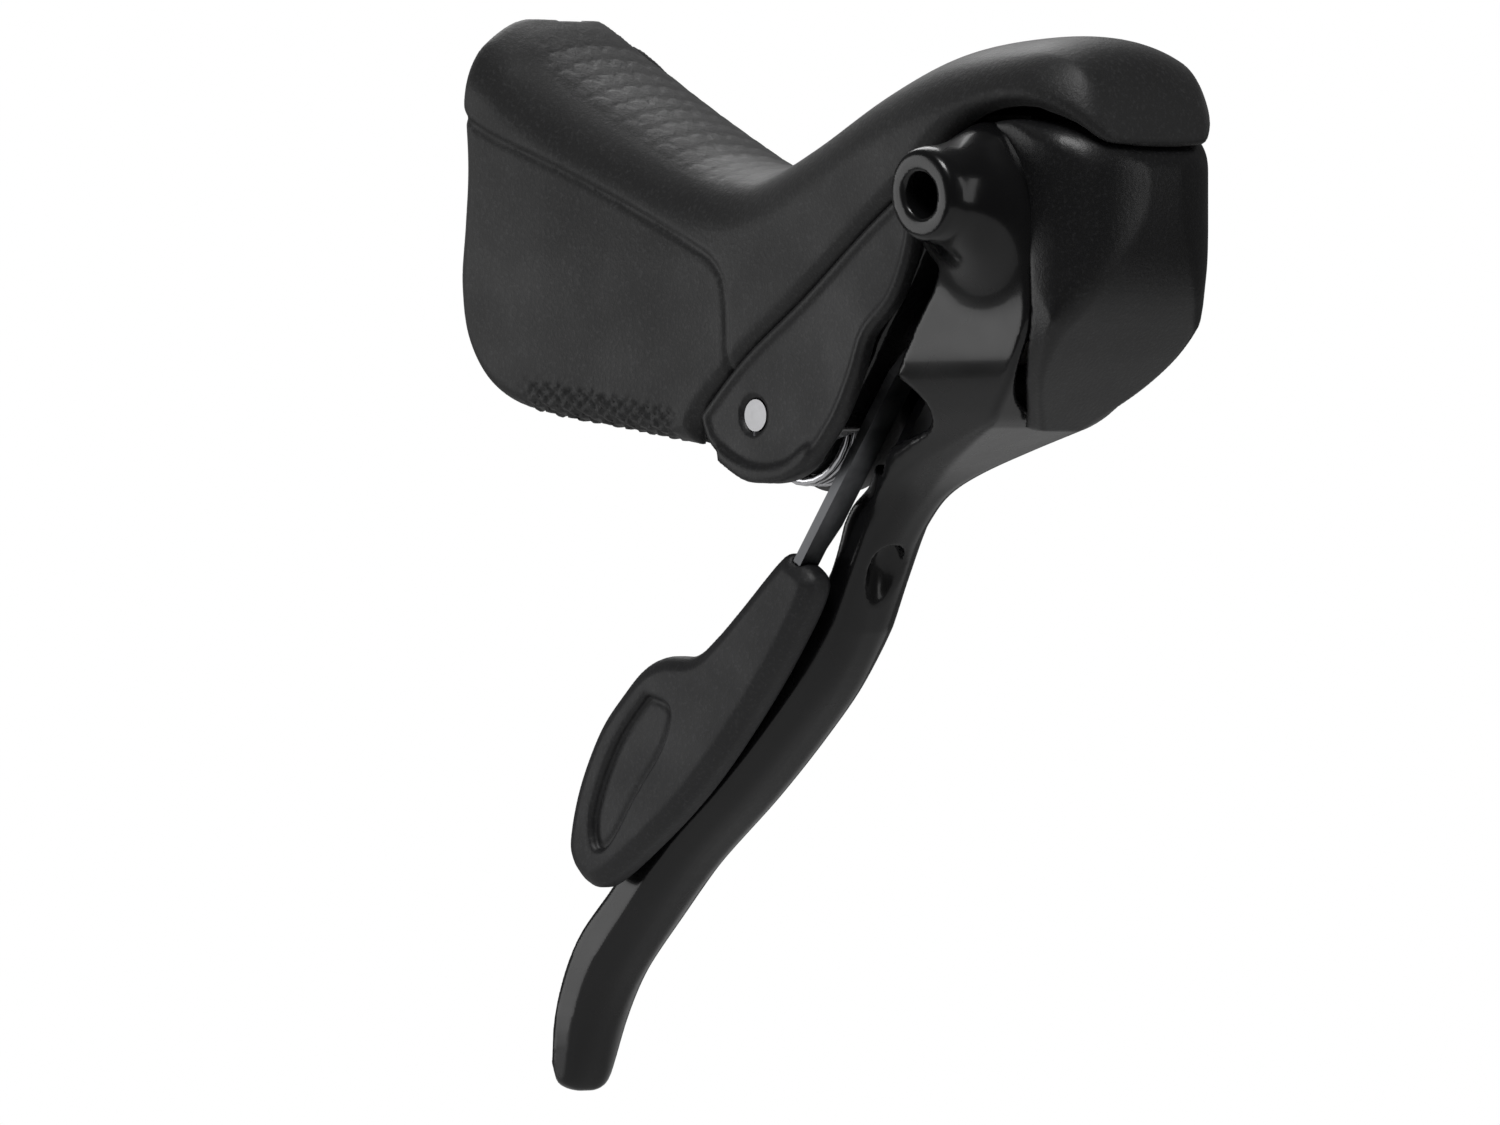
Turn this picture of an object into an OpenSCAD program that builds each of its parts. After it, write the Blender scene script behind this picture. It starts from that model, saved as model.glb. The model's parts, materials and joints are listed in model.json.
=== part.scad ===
// Left-hand brake and shift lever for a road bicycle handlebar.
// X points forward, Y to the rider's left (outer side), Z up. The origin is the centre of the bar clamp.

/* [Bar clamp] */
// Diameter of the handlebar
bar_d = 23.8; // [23.6:0.1:24.0]
// Lean of the handlebar towards the rear at the clamp, in degrees
clamp_tilt = 25; // [24:0.5:26]
// Height of the clamp band along the bar
band_h = 11; // [10:0.5:12]
// Thickness of the clamp band
band_t = 1.2; // [1.0:0.1:1.3]
// Thread of the clamp bolt
bolt_d = 5; // [4.8:0.1:5.2]

/* [Bracket and hood] */
// Width of the hood at its rear end
hood_w = 34; // [33.5:0.5:35]
// Width over the two pivot cheeks
cheek_w = 31; // [30.5:0.5:31.5]
// Free width between the two pivot cheeks
cheek_gap = 25; // [24.8:0.1:25.2]
// Diameter of the brake cable housing
housing_d = 5; // [4.8:0.1:5.1]

/* [Brake pivot] */
// Forward distance of the brake pivot from the clamp
pivot_x = 57; // [56.5:0.5:57.5]
// Height of the brake pivot
pivot_z = -26.7; // [-27:0.1:-26.5]
// Diameter of the pivot pin
pin_d = 4.4; // [4.2:0.1:4.6]

/* [Brake lever] */
// Width of the blade at its middle
blade_w = 12; // [11:0.5:12.5]
// Width of the lever head over its ears
ear_w = 24.4; // [24.2:0.1:24.6]
// Diameter of the hole for the shift cable housing end
outlet_d = 6.2; // [6.0:0.1:6.4]
// How far the cable outlet stands out from the middle
outlet_y = 25; // [24:0.5:26]

/* [Shift mechanism] */
// Forward distance of the mechanism centre
mech_x = 95.6; // [95.4:0.1:95.8]
// Height of the mechanism centre
mech_z = -8; // [-8.2:0.1:-7.8]
// Radius at which the shift cable is wound
drum_r = 11.5; // [11:0.25:11.5]
// Diameter of the mechanism axle
axle_d = 5; // [4.8:0.1:5.2]
// Number of ratchet teeth on a full turn
ratchet_n = 24; // [20:1:28]

/* [Hidden] */

bar_r = bar_d / 2;
fit = 0.05;               // running clearance on a radius
mech_tilt = 126.87;       // turns the mechanism axis to point forward and down
outlet_droop = 6;         // the cable outlet points slightly downwards
cavity_r = 12.6;          // inside radius of the mechanism housing
pin_l = cheek_w - 1.4;    // each pin end lies 0.7 below the cheek face
seat_h = band_h + 4;      // length of the bracket's seat on the bar
band_z = -3;              // the band's middle, along the bar
nut_x = 21;               // where the clamp nut starts, ahead of the bar axis
shift_q = -5.2;           // the shift arm's rear face, along the mechanism axis
release_q = -6.9;         // the release arm's rear face
arm_t = 1.5;              // thickness of both steel arms
pawl_pos = [-8.2, 6.4];   // pin of the holding pawl
drive_pos = [9.2, -3.2];  // pin of the drive pawl on the shift arm

rubber = "#1b1b1c";
satin = "#202124";
gloss = "#0c0c0e";
steel = "#b9bcc0";
dark_steel = "#55585c";
brass = "#b08a45";
nylon = "#d8d8d0";

// ---- curves and frames ----

function cr(a, b, c, d, t) =
    0.5 * (2 * b + (c - a) * t + (2 * a - 5 * b + 4 * c - d) * t * t + (3 * b - a - 3 * c + d) * t * t * t);

// A smooth curve through the points p, with n steps between neighbours.
function curve(p, n = 4) = concat(
    [for (i = [0 : len(p) - 2], k = [0 : n - 1])
        cr(p[max(i - 1, 0)], p[i], p[i + 1], p[min(i + 2, len(p) - 1)], k / n)],
    [p[len(p) - 1]]
);

// A side outline in X and Z, as a plate from y0 to y1.
module slab(y0, y1) {
    translate([0, y1, 0]) rotate([90, 0, 0]) linear_extrude(y1 - y0) children();
}

module both_sides() {
    children();
    mirror([0, 1, 0]) children();
}

module at_clamp() {
    rotate([0, -clamp_tilt, 0]) children();
}

module at_band() {
    at_clamp() translate([0, 0, band_z]) children();
}

// Local z runs along +Y from the middle of the brake pivot.
module at_pivot() {
    translate([pivot_x, 0, pivot_z]) rotate([-90, 0, 0]) children();
}

// Local x runs down the shift arms, local z along the mechanism axis.
module at_mech() {
    translate([mech_x, 0, mech_z]) rotate([0, mech_tilt, 0]) children();
}

// Local z leaves the cable outlet.
module at_outlet() {
    translate([101.1, 0, 5]) rotate([90 + outlet_droop, 0, 0]) children();
}

// Local z leaves the brake housing entry.
module at_housing() {
    translate([9.5, 10.2, 18.4]) rotate([0, -45, 0]) children();
}

module tube(r_out, r_in, h) {
    difference() {
        cylinder(r = r_out, h = h, $fn = 64);
        translate([0, 0, -1]) cylinder(r = r_in, h = h + 2, $fn = 64);
    }
}

// A wound spring: turns laid side by side, with one short leg bent outwards at each end.
module coil(r, wire, turns, leg) {
    pitch = wire * 0.92;
    rotate_extrude($fn = 64) for (i = [0 : turns - 1])
        translate([r, wire / 2 + i * pitch]) circle(d = wire, $fn = 24);
    translate([r, 0, wire / 2]) rotate([0, 90, 0]) cylinder(d = wire * 0.9, h = leg, $fn = 24);
    translate([-r, 0, wire / 2 + (turns - 1) * pitch]) rotate([0, -90, 0]) cylinder(d = wire * 0.9, h = leg, $fn = 24);
}

// ---- outlines, all in X and Z ----

hood_top = [
    [-1.5, 23], [-0.2, 27.2], [3, 28.8], [8, 26.8], [17, 21.6], [29, 15.2], [40, 10], [49, 8.2],
    [56, 9.4], [66, 14.6], [79, 20], [91, 23], [103, 24.6], [112, 24.6], [118.4, 22], [122, 16.5], [123.6, 8]
];
hood_under = [
    [123.6, 8], [117, 11.8], [109, 14.2], [101, 13.2], [94, 9.2], [89, 4.6],
    [80, -1.6], [67, -11.1], [55, -19.1], [46, -26.8], [45, -31]
];
hood_bottom = [
    [45, -31], [28, -28.4], [13, -25.6], [4.6, -21.6], [-0.4, -15.6], [-2.2, -8], [-1.8, 0], [-1.2, 8], [-1.4, 15], [-1.5, 23]
];

core_top = [
    [6, 22.5], [17, 17.8], [29, 11.8], [41, 6.6], [50, 5],
    [57, 6.2], [65, 10], [80, 16.4], [95, 20.4], [110, 21.8], [118, 19.6], [121, 15]
];
core_under = [[121, 15], [105, 15], [96, 14.8], [84, 11], [72, 5], [61, -3], [52, -13], [43, -19], [42, -28]];
core_bottom = [[42, -28], [30, -25.4], [14, -22.4], [9, -20]];

cheek_front = [[89, 4.6], [89, -3], [85.5, -11], [80, -16], [77.4, -21.6], [74, -27.4], [69.8, -32]];
cheek_bottom = [[69.8, -32], [66, -34.8], [60, -35.6], [53, -33.8], [48, -30.6], [46.2, -27]];
cheek_rear = [[46.2, -26.4], [55, -18.7], [67, -10.7], [80, -1.2], [89, 4.6]];

head_top = [[82, 2], [87, 7], [94, 10.4], [102, 10.6], [105, 9.4]];
head_front = [[105, 9.4], [108.4, 2], [110.4, -6], [110.4, -14], [106.6, -21], [101, -26.6], [98, -28.6]];
neck_front = [[98, -28.6], [90, -31.6], [82, -35], [76.4, -38.4], [71.6, -43.4], [68, -50], [65.2, -56.4]];
blade_front = [
    [65.2, -56.4], [60.2, -64], [52.7, -71.4], [42.4, -80], [29.4, -90.2], [18.4, -101.4], [13.6, -108.6], [9.6, -117.4]
];
blade_tip = [[9.6, -117.4], [7.8, -119.8], [5.6, -119.4], [4.4, -116]];
blade_rear = [
    [4.4, -116], [5.9, -108.6], [10, -99.4], [17, -91.6], [27, -81], [35, -74.6], [45, -66.4], [53, -59],
    [58.6, -53.2], [62.2, -47], [64.4, -41.2]
];
head_rear = [
    [64.4, -41.2], [68, -35.8], [73, -32], [80, -30], [86, -28.4], [87.6, -26], [85, -23],
    [79.6, -19.6], [78.4, -16], [82, -12.6], [86, -8.4], [84, -4], [82, 2]
];

// Where the lever's head goes between the cheeks.
between_cheeks = [[60, 20], [103, 20], [100, 8], [95, 3], [91, -2], [87, -14], [77, -24], [60, -40]];

// What the hood leaves free between the cheeks, for the lever's head.
hood_room = [[112, 16], [96, 16], [84, 13], [72, 7], [60, -1], [41, -17], [41, -34], [80, -40], [112, 5]];

// The thin web that carries each cheek, under the hood.
web_shape = [[38, -25], [47, -28], [56, -24], [70, -12], [88, 1], [88, 14], [72, 8], [60, 1], [40, -10]];

cap_front = [
    [104, 12.4], [110, 12.6], [117, 10.8], [121.4, 8.2], [123.2, 5], [123.2, -3], [120.8, -11.4], [115.8, -18.6],
    [109.4, -24.8], [102.4, -29.2]
];
cap_back = [
    [102.4, -29.2], [99.6, -28.6], [101.8, -27], [107.2, -21.3], [110.9, -14], [110.9, -6], [108.9, 2.2], [105.5, 9.6], [104, 12.4]
];

// The cap seen from above: half widths along X.
cap_plan = [[95, 14.2], [112, 14.2], [118, 13], [121.2, 10.6], [123.2, 6.5]];

// The cap seen from the front: half widths along Z.
cap_side = [[14.2, 20], [14, -12], [13, -18], [10.6, -23], [7.4, -27], [4, -31]];

module hood_shape() {
    polygon(concat(curve(hood_top), curve(hood_under), curve(hood_bottom)));
}

module core_shape() {
    polygon(concat(curve(core_top), curve(core_under), curve(core_bottom)));
}

module cheek_shape() {
    polygon(concat(curve(cheek_front), curve(cheek_bottom), curve(cheek_rear)));
}

module lever_shape() {
    polygon(concat(
        curve(head_top), curve(head_front), curve(neck_front), curve(blade_front),
        curve(blade_tip), curve(blade_rear), curve(head_rear)
    ));
}

module cap_shape() {
    polygon(concat(curve(cap_front), curve(cap_back)));
}

// The hood and the bracket seen from above: half widths along X.
function plan(edge) = concat(curve(edge), curve([for (i = [len(edge) - 1 : -1 : 0]) [edge[i][0], -edge[i][1]]]));

hood_plan = [
    [-2, hood_w / 2], [12, hood_w / 2], [30, 16], [48, 15.2], [70, 15.8], [92, 16.2], [108, 15], [118, 13], [124.5, 9]
];
core_plan = [[-2, 14.4], [12, 14.4], [30, 13.6], [48, 12.9], [70, 13.2], [92, 13.6], [108, 12.4], [118, 10.4], [122, 7]];

module core_block() {
    intersection() {
        slab(-20, 20) core_shape();
        translate([0, 0, -60]) linear_extrude(120) polygon(plan(core_plan));
    }
}

module cheeks() {
    both_sides() slab(cheek_gap / 2, cheek_w / 2) cheek_shape();
    both_sides() slab(cheek_gap / 2, 13.4) polygon(web_shape);
}

// ---- bar clamp ----

// A solid block of height h in the clamp band's outline: round the bar, then narrower to the nut.
module band_block(r, front_x, front_y, h) {
    side = (r - 0.3) * [cos(60), sin(60)];
    translate([0, 0, -h / 2]) {
        cylinder(r = r, h = h, $fn = 96);
        linear_extrude(h) polygon([[0, side[1]], side, [front_x, front_y], [front_x, -front_y], [side[0], -side[1]], [0, -side[1]]]);
    }
}

module band_slot(extra) {
    difference() {
        band_block(bar_r + fit + band_t + extra, nut_x + extra, 4.6 + extra, band_h + 2 * extra);
        band_block(bar_r + fit - extra, nut_x - band_t - extra, 3.6 - extra, band_h + 10);
    }
}

module clamp_band() {
    color(steel) at_band() difference() {
        band_slot(0);
        translate([nut_x - 3, 0, 0]) rotate([0, 90, 0]) cylinder(d = bolt_d + 0.6, h = 6, $fn = 32);
    }
}

module clamp_nut() {
    color(steel) at_band() difference() {
        translate([nut_x, -4.4, -4.4]) cube([3, 8.8, 8.8]);
        translate([nut_x - 1, 0, 0]) rotate([0, 90, 0]) cylinder(d = bolt_d, h = 8, $fn = 32);
    }
}

module clamp_bolt() {
    color(dark_steel) at_band() rotate([0, 90, 0]) difference() {
        union() {
            translate([0, 0, nut_x - 3]) cylinder(d = bolt_d, h = 8.2, $fn = 32);
            translate([0, 0, nut_x + 5]) cylinder(d = bolt_d * 1.7, h = 3.5, $fn = 48);
        }
        translate([0, 0, nut_x + 6.4]) cylinder(d = 4.6, h = 4, $fn = 6);
    }
}

// ---- bracket ----

module bracket_body() {
    color(satin) difference() {
        union() {
            core_block();
            cheeks();
        }
        at_clamp() {
            translate([0, 0, -60]) cylinder(r = bar_r + fit, h = 120, $fn = 96);
            for (z = [seat_h / 2, -seat_h / 2 - 60])
                translate([0, 0, z]) cylinder(r = bar_r + 0.8, h = 60, $fn = 96);
        }
        at_band() {
            band_slot(0.1);
            translate([nut_x - 0.1, -4.5, -band_h / 2]) cube([3.2, 9, band_h]);
            rotate([0, 90, 0]) cylinder(d = bolt_d + 0.4, h = 40, $fn = 32);
            translate([nut_x + 5, 0, 0]) rotate([0, 90, 0]) cylinder(d = bolt_d * 1.8, h = 20, $fn = 48);
        }
        at_pivot() translate([0, 0, -20]) cylinder(d = pin_d, h = 40, $fn = 48);
        at_pivot() both_ends() cylinder(d = pin_d + 0.9, h = 4, $fn = 48);
        at_housing() translate([0, 0, -11]) cylinder(d = housing_d + 1, h = 40, $fn = 48);
        at_housing() translate([0, 0, -14]) cylinder(d = 2.4, h = 8, $fn = 32);
        set_screw_hole();
    }
}

// The shallow recess round each end of the pivot pin.
module both_ends() {
    translate([0, 0, pin_l / 2]) children();
    rotate([180, 0, 0]) translate([0, 0, pin_l / 2]) children();
}

module set_screw_hole() {
    translate([pivot_x, -(cheek_gap + cheek_w) / 4, pivot_z - 12]) cylinder(d = 2, h = 12 - pin_d / 2, $fn = 24);
}

module hood() {
    color(rubber) difference() {
        intersection() {
            slab(-20, 20) hood_shape();
            translate([0, 0, -60]) linear_extrude(120) polygon(plan(hood_plan));
        }
        core_block();
        cheeks();
        both_sides() slab(cheek_gap / 2, 20) cheek_shape();
        slab(-cheek_gap / 2, cheek_gap / 2) polygon(hood_room);
        at_clamp() translate([0, 0, -60]) cylinder(r = bar_r + band_t + 0.6, h = 120, $fn = 96);
        at_band() band_block(bar_r + band_t + 0.5, nut_x + 0.5, 5.2, band_h + 1);
        at_band() translate([nut_x + 4.8, 0, 0]) rotate([0, 90, 0]) cylinder(d = bolt_d * 1.8, h = 4.4, $fn = 48);
        at_housing() translate([0, 0, -6]) cylinder(d = housing_d + 1.6, h = 40, $fn = 48);
    }
}

module pivot_pin() {
    color(steel) at_pivot() translate([0, 0, -pin_l / 2]) cylinder(d = pin_d, h = pin_l, $fn = 48);
}

module pin_set_screw() {
    color(dark_steel) translate([pivot_x, -(cheek_gap + cheek_w) / 4, pivot_z - 7.4])
        cylinder(d = 2, h = 7.4 - pin_d / 2, $fn = 24);
}

module spring_hub() {
    color(satin) at_pivot() difference() {
        union() {
            translate([0, 0, -6.6]) cylinder(r = 8, h = 13.2, $fn = 64);
            translate([0, 0, -0.4]) cylinder(r = 10.4, h = 3, $fn = 64);
        }
        translate([0, 0, -10]) cylinder(d = pin_d, h = 20, $fn = 48);
    }
}

module brake_return_spring() {
    color(steel) at_pivot() translate([0, 0, -6.4]) rotate([0, 0, -100]) coil(9, 1.4, 4, 1.6);
}

module housing_ferrule() {
    color(brass) at_housing() translate([0, 0, -11]) difference() {
        cylinder(d = housing_d + 1, h = 10, $fn = 48);
        translate([0, 0, 1.5]) cylinder(d = housing_d + 0.2, h = 10, $fn = 48);
        translate([0, 0, -1]) cylinder(d = 2, h = 4, $fn = 32);
    }
}

module rest_pad() {
    color(rubber) difference() {
        slab(-4, 4) polygon([[87, 8], [92, 10.6], [92, 17], [87, 15]]);
        core_block();
    }
}

// ---- brake lever ----

// The lever seen from the front: half widths along Z, wide at the head and slim at the neck.
lever_plan = [
    [20, 14], [-13, 14], [-20, 12.8], [-26, 10], [-31, 7.4], [-37, blade_w / 2 - 0.4], [-56, blade_w / 2 - 0.3],
    [-75, blade_w / 2], [-95, blade_w / 2 - 0.4], [-110, blade_w / 2 - 1.0], [-120.5, blade_w / 2 - 2.2]
];

module lever_width() {
    rotate([90, 0, 90]) linear_extrude(140)
        polygon(concat(
            curve([for (p = lever_plan) [p[1], p[0]]]),
            curve([for (i = [len(lever_plan) - 1 : -1 : 0]) [-lever_plan[i][1], lever_plan[i][0]]])
        ));
}

module ear_shape() {
    polygon(curve([
        [57, -20.3], [62, -10], [65, -4.6], [70, -3], [79, 0], [87, 1], [89, -6], [82, -20], [75, -27],
        [64, -30.6], [57, -33.1], [52.5, -31.2], [50.6, -26.7], [52.5, -22.2], [57, -20.3]
    ]));
}

module brake_lever() {
    color(gloss) difference() {
        union() {
            difference() {
                intersection() {
                    slab(-20, 20) lever_shape();
                    lever_width();
                }
                both_sides() slab(ear_w / 2, 20) polygon(between_cheeks);
            }
            both_sides() slab(7, ear_w / 2) ear_shape();
            at_outlet() translate([0, 0, 12]) cylinder(r = 6.2, h = outlet_y - 12, $fn = 64);
        }
        at_mech() translate([0, 0, -7]) cylinder(r = cavity_r, h = 60, $fn = 96);
        at_mech() translate([0, 0, -20]) cylinder(d = axle_d, h = 40, $fn = 48);
        at_mech() translate([0, 0, -49]) cylinder(r = 5.4, h = 40, $fn = 48);
        at_mech() arm_window();
        at_outlet() translate([0, 0, outlet_y - 10]) cylinder(d = outlet_d, h = 20, $fn = 48);
        at_outlet() cylinder(d = 2.4, h = 30, $fn = 32);
        at_pivot() translate([0, 0, -20]) cylinder(r = 3.6, h = 40, $fn = 48);
        at_anchor() translate([0, 0, -20]) cylinder(r = 3.5 + fit, h = 40, $fn = 48);
        both_screws() translate([0, 0, -3]) cylinder(d = 2.2, h = 6, $fn = 24);
    }
}

// The mouth in the head's inner side and underside, through which both arms hang and swing.
module arm_window() {
    translate([0, -20, -7]) cube([35, 26, 5.2]);
    translate([0, -20, -7.3]) cube([50, 27, 2.3]);
}

module at_anchor() {
    translate([67.5, 0, -8.5]) rotate([-90, 0, 0]) children();
}

module pivot_bushings() {
    color(nylon) both_sides() at_pivot() translate([0, 0, 7]) difference() {
        cylinder(r = 3.6, h = ear_w / 2 - 7, $fn = 48);
        translate([0, 0, -1]) cylinder(r = pin_d / 2 + fit, h = 20, $fn = 48);
    }
}

module cable_anchor() {
    color(steel) at_anchor() difference() {
        translate([0, 0, -12]) cylinder(r = 3.5, h = 24, $fn = 48);
        rotate([0, 90, 0]) translate([0, 0, -5]) cylinder(d = 1.8, h = 10, $fn = 24);
        rotate([0, 90, 0]) cylinder(d = 4.6, h = 5, $fn = 32);
    }
}

// The cap's outline, set back and made narrower by inset. Seen from the front it narrows to a tongue.
module cap_block(inset) {
    intersection() {
        slab(-20, 20) translate([-inset, 0]) cap_shape();
        translate([-inset, 0, -60]) linear_extrude(120)
            polygon(plan([for (p = cap_plan) [p[0], p[1] - inset]]));
        translate([60, 0, 0]) rotate([90, 0, 90]) linear_extrude(80) polygon(concat(
            curve([for (p = cap_side) [p[0] - inset, p[1]]]),
            curve([for (i = [len(cap_side) - 1 : -1 : 0]) [inset - cap_side[i][0], cap_side[i][1]]])
        ));
    }
}

module front_cap() {
    color(satin) difference() {
        cap_block(0);
        cap_block(1.6);
        at_mech() translate([0, 0, -7]) cylinder(r = cavity_r - 1, h = 22, $fn = 96);
        both_screws() cylinder(d = 2.2, h = 8, center = true, $fn = 24);
    }
}

// Both cap screws go into the outer side of the cap.
module both_screws() {
    for (p = [[113, 1], [112, -13]])
        translate([p[0], 13, p[1]]) rotate([-90, 0, 0]) children();
}

module cap_screws() {
    color(dark_steel) both_screws() {
        translate([0, 0, -2.4]) cylinder(d = 2.2, h = 3.7, $fn = 24);
        translate([0, 0, 1.3]) cylinder(d = 3.8, h = 0.7, $fn = 32);
    }
}

// ---- shift mechanism ----

module mech_axle() {
    color(steel) at_mech() {
        translate([0, 0, -9]) cylinder(d = axle_d, h = 22, $fn = 48);
        translate([0, 0, -10.8]) cylinder(r = 4.4, h = 1.8, $fn = 48);
    }
}

module axle_nut() {
    color(steel) at_mech() translate([0, 0, 10.6]) difference() {
        cylinder(d = 9.2, h = 2.2, $fn = 6);
        translate([0, 0, -1]) cylinder(d = axle_d, h = 6, $fn = 48);
    }
}

module thrust_washers() {
    color(steel) at_mech() for (z = [-3.6, 10])
        translate([0, 0, z]) tube(4.6, axle_d / 2, 0.5);
}

module hold_pawl_pin() {
    color(steel) at_mech() translate([pawl_pos[0], pawl_pos[1], -7]) cylinder(d = 1.6, h = 5.4, $fn = 24);
}

module drum_spring() {
    color(steel) at_mech() translate([0, 0, 5]) coil(5.4, 1.0, 4, 2);
}

module cable_drum() {
    color(nylon) at_mech() difference() {
        rotate_extrude($fn = 96) difference() {
            translate([axle_d / 2 + fit, -1.1]) square([drum_r + 0.8 - axle_d / 2 - fit, 5]);
            translate([drum_r + 0.8, 1.4]) circle(r = 1.1, $fn = 32);
        }
        translate([0, 0, 2.4]) tube(7.4, 4, 2);
        rotate([0, 0, 60]) translate([drum_r - 1.4, 0, 1.4]) cylinder(d = 3.2, h = 5, $fn = 24);
    }
}

module ratchet_plate() {
    color(steel) at_mech() translate([0, 0, -2.9]) difference() {
        linear_extrude(1.4) polygon([
            for (i = [0 : ratchet_n - 1], k = [0, 1])
                let (r = k == 0 ? 7.2 : 6.3, a = (i + k * 0.2) * 360 / ratchet_n) [r * cos(a), r * sin(a)]
        ]);
        translate([0, 0, -1]) cylinder(r = axle_d / 2 + fit, h = 4, $fn = 48);
    }
}

module pawl(r, reach) {
    difference() {
        union() {
            cylinder(r = r, h = 1.2, $fn = 32);
            translate([0, -r * 0.6, 0]) cube([reach, r * 1.2, 1.2]);
        }
        translate([0, 0, -1]) cylinder(r = 0.8 + fit, h = 4, $fn = 24);
    }
}

module hold_pawl() {
    color(steel) at_mech() translate([pawl_pos[0], pawl_pos[1], -2.8]) rotate([0, 0, -100]) pawl(1.6, 4);
}

module hold_pawl_spring() {
    color(steel) at_mech() translate([pawl_pos[0], pawl_pos[1], -4.6]) tube(1.7, 1.0, 1.2);
}

// A steel arm from the axle to its paddle behind the blade. It is wider by a shoulder down to the paddle.
module arm_plate(offset_y, reach, w, shoulder) {
    difference() {
        linear_extrude(arm_t) {
            circle(r = 5.6, $fn = 64);
            polygon([
                [2, -5.2], [20, offset_y - w / 2], [reach, offset_y - w / 2], [reach, offset_y + w / 2],
                [49, offset_y + w / 2], [45, offset_y + w / 2 + shoulder], [22, offset_y + w / 2 + shoulder], [4, 4]
            ]);
        }
        translate([0, 0, -1]) cylinder(r = axle_d / 2 + fit, h = 4, $fn = 48);
    }
}

module shift_arm() {
    color(dark_steel) at_mech() translate([0, 0, shift_q]) difference() {
        union() {
            arm_plate(-9, 68, 3.4, 0.7);
            translate([drive_pos[0], drive_pos[1], 0]) cylinder(r = 1.6, h = arm_t, $fn = 32);
        }
        translate([drive_pos[0], drive_pos[1], -1]) cylinder(d = 1.4, h = 4, $fn = 24);
        for (x = [60, 65]) translate([x, -9, -1]) cylinder(d = 1.6, h = 4, $fn = 24);
    }
}

paddle_rear = [
    [61.6, -46.4], [59.4, -46], [50.6, -53.4], [46, -57], [41, -60], [35, -60.2], [31, -61.6], [27, -64.8],
    [22, -70], [17.6, -78], [15.6, -85.6], [16.6, -89]
];
paddle_front = [
    [16.6, -89], [19, -91.2], [22, -91.2], [29, -87], [40, -79], [50, -69.4], [59, -59], [64.6, -50], [61.6, -46.4]
];
thumb_pad = [
    [31, -65.4], [35.4, -67.2], [33.6, -72.4], [28, -79], [22.6, -86], [19.4, -87.2], [19.6, -81], [24.6, -72], [31, -65.4]
];

module shift_paddle() {
    color(satin) difference() {
        slab(-11.8, -6.4) polygon(concat(curve(paddle_rear), curve(paddle_front)));
        at_mech() translate([40, -10.75, shift_q - 0.02]) cube([28.1, 3.5, arm_t + 0.04]);
        slab(-13, -11.1) polygon(curve(thumb_pad));
        at_mech() for (x = [60, 65]) translate([x, -9, shift_q - 1]) cylinder(d = 1.6, h = arm_t + 2, $fn = 24);
    }
}

module paddle_rivets() {
    color(steel) at_mech() for (x = [60, 65])
        translate([x, -9, shift_q - 1]) cylinder(d = 1.6, h = arm_t + 2, $fn = 24);
}

module shift_return_spring() {
    color(steel) at_mech() translate([0, 0, shift_q + arm_t + 0.1]) tube(6.4, 5.2, 0.7);
}

module drive_pawl() {
    color(steel) at_mech() translate([drive_pos[0], drive_pos[1], -2.8]) rotate([0, 0, 110]) pawl(1.5, 3.2);
}

module drive_pawl_pin() {
    color(steel) at_mech() translate([drive_pos[0], drive_pos[1], shift_q])
        cylinder(d = 1.4, h = 3.8, $fn = 24);
}

module release_arm() {
    color(dark_steel) at_mech() translate([0, 0, release_q]) arm_plate(1, 66, 3.4, 2);
}

module release_paddle() {
    color(satin) difference() {
        slab(-1, 3) polygon(curve([
            [52.6, -52.6], [44.6, -58.5], [36.6, -62.6], [29.6, -66.6], [26, -72.5], [25.6, -77],
            [30, -77], [38.6, -69.6], [48.6, -61], [54.6, -54.6], [52.6, -52.6]
        ]));
        at_mech() translate([40, -0.75, release_q - 0.02]) cube([26.1, 3.5, arm_t + 0.04]);
    }
}

module release_return_spring() {
    color(steel) at_mech() translate([0, 0, release_q - 0.02 + arm_t + 0.02]) tube(6.4, 5.7, 0.15);
}

bracket_body();
hood();
clamp_band();
clamp_nut();
clamp_bolt();
pivot_pin();
pin_set_screw();
spring_hub();
brake_return_spring();
housing_ferrule();
rest_pad();
brake_lever();
pivot_bushings();
cable_anchor();
front_cap();
cap_screws();
mech_axle();
axle_nut();
thrust_washers();
hold_pawl_pin();
drum_spring();
cable_drum();
ratchet_plate();
hold_pawl();
hold_pawl_spring();
shift_arm();
shift_paddle();
paddle_rivets();
shift_return_spring();
drive_pawl();
drive_pawl_pin();
release_arm();
release_paddle();
release_return_spring();
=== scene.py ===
"""The visual model of a left-hand brake and shift lever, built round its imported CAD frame.

The moulded and cast pieces are distance fields, in millimetres, that are turned into closed meshes.
"""

import json
import math

import bpy
import numpy as np
import openvdb
from mathutils import Matrix, Vector


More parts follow.
